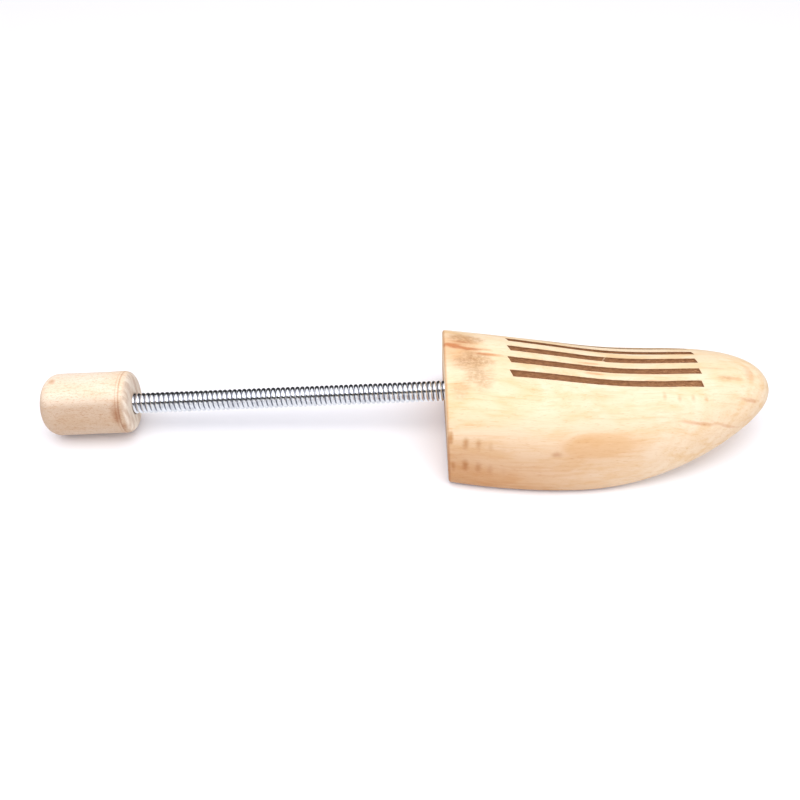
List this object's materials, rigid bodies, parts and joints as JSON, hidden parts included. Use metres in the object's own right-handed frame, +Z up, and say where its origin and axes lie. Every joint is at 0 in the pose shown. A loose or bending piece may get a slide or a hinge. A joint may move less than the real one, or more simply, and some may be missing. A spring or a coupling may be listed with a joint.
{
  "type": "shoe tree",
  "caption": "Sprung wooden shoe tree: grooved toe block and turned heel knob joined by a long coil spring.",
  "frame": {"origin": "on the ground, at the middle of the footprint: halfway between the knob's rear end and the toe tip, and halfway across the toe block", "axes": "+X towards the toe, +Y towards the inner side of a right foot, +Z up from the ground that the sole and the knob rest on"},
  "size_m": [0.3417, 0.0816, 0.0498],
  "materials": {
    "toe_wood": "sanded bare pale softwood",
    "knob_wood": "turned bare pale hardwood",
    "spring_steel": "bright plated spring wire"
  },
  "bodies": {
    "toe_body": {"toe_block": "toe_wood", "coil_spring_01": "spring_steel"},
    "spring_body_02": {"coil_spring_02": "spring_steel"},
    "spring_body_03": {"coil_spring_03": "spring_steel"},
    "spring_body_04": {"coil_spring_04": "spring_steel"},
    "spring_body_05": {"coil_spring_05": "spring_steel"},
    "spring_body_06": {"coil_spring_06": "spring_steel"},
    "spring_body_07": {"coil_spring_07": "spring_steel"},
    "spring_body_08": {"coil_spring_08": "spring_steel"},
    "spring_body_09": {"coil_spring_09": "spring_steel"},
    "knob_body": {"coil_spring_10": "spring_steel", "heel_knob": "knob_wood"}
  },
  "joints": [
    {"name": "lift_1", "type": "hinge", "parent": "toe_body", "child": "spring_body_02", "pos_m": [0.00796, 0.00425, 0.02202], "axis": [0, 1, 0], "range_deg": [-15, 15], "stiffness_Nm_per_rad": 0.33, "deforming": ["coil_spring_01", "coil_spring_02"]},
    {"name": "swing_1", "type": "hinge", "parent": "spring_body_02", "child": "spring_body_03", "pos_m": [-0.00452, 0.00425, 0.02139], "axis": [-0.0506, 0, 0.9987], "range_deg": [-12, 12], "stiffness_Nm_per_rad": 0.33, "deforming": ["coil_spring_02", "coil_spring_03"]},
    {"name": "squeeze_1", "type": "slide", "parent": "spring_body_03", "child": "spring_body_04", "axis": [0.9987, 0, 0.0506], "range_m": [0, 0.0014], "stiffness_N_per_m": 20600, "deforming": ["coil_spring_03", "coil_spring_04"]},
    {"name": "lift_2", "type": "hinge", "parent": "spring_body_04", "child": "spring_body_05", "pos_m": [-0.03898, 0.00425, 0.01965], "axis": [0, 1, 0], "range_deg": [-15, 15], "stiffness_Nm_per_rad": 0.33, "deforming": ["coil_spring_04", "coil_spring_05"]},
    {"name": "swing_2", "type": "hinge", "parent": "spring_body_05", "child": "spring_body_06", "pos_m": [-0.05146, 0.00425, 0.01901], "axis": [-0.0506, 0, 0.9987], "range_deg": [-12, 12], "stiffness_Nm_per_rad": 0.33, "deforming": ["coil_spring_05", "coil_spring_06"]},
    {"name": "squeeze_2", "type": "slide", "parent": "spring_body_06", "child": "spring_body_07", "axis": [0.9987, 0, 0.0506], "range_m": [0, 0.0014], "stiffness_N_per_m": 20600, "deforming": ["coil_spring_06", "coil_spring_07"]},
    {"name": "lift_3", "type": "hinge", "parent": "spring_body_07", "child": "spring_body_08", "pos_m": [-0.08592, 0.00425, 0.01727], "axis": [0, 1, 0], "range_deg": [-15, 15], "stiffness_Nm_per_rad": 0.33, "deforming": ["coil_spring_07", "coil_spring_08"]},
    {"name": "swing_3", "type": "hinge", "parent": "spring_body_08", "child": "spring_body_09", "pos_m": [-0.0984, 0.00425, 0.01664], "axis": [-0.0506, 0, 0.9987], "range_deg": [-12, 12], "stiffness_Nm_per_rad": 0.33, "deforming": ["coil_spring_08", "coil_spring_09"]},
    {"name": "squeeze_3", "type": "slide", "parent": "spring_body_09", "child": "knob_body", "axis": [0.9987, 0, 0.0506], "range_m": [0, 0.0014], "stiffness_N_per_m": 20600, "deforming": ["coil_spring_09", "coil_spring_10"]}
  ],
  "couplings": [
    {"joint": "lift_2", "follows": "lift_1", "ratio": 1},
    {"joint": "swing_2", "follows": "swing_1", "ratio": 1},
    {"joint": "squeeze_2", "follows": "squeeze_1", "ratio": 1},
    {"joint": "lift_3", "follows": "lift_1", "ratio": 1},
    {"joint": "swing_3", "follows": "swing_1", "ratio": 1},
    {"joint": "squeeze_3", "follows": "squeeze_1", "ratio": 1}
  ]
}
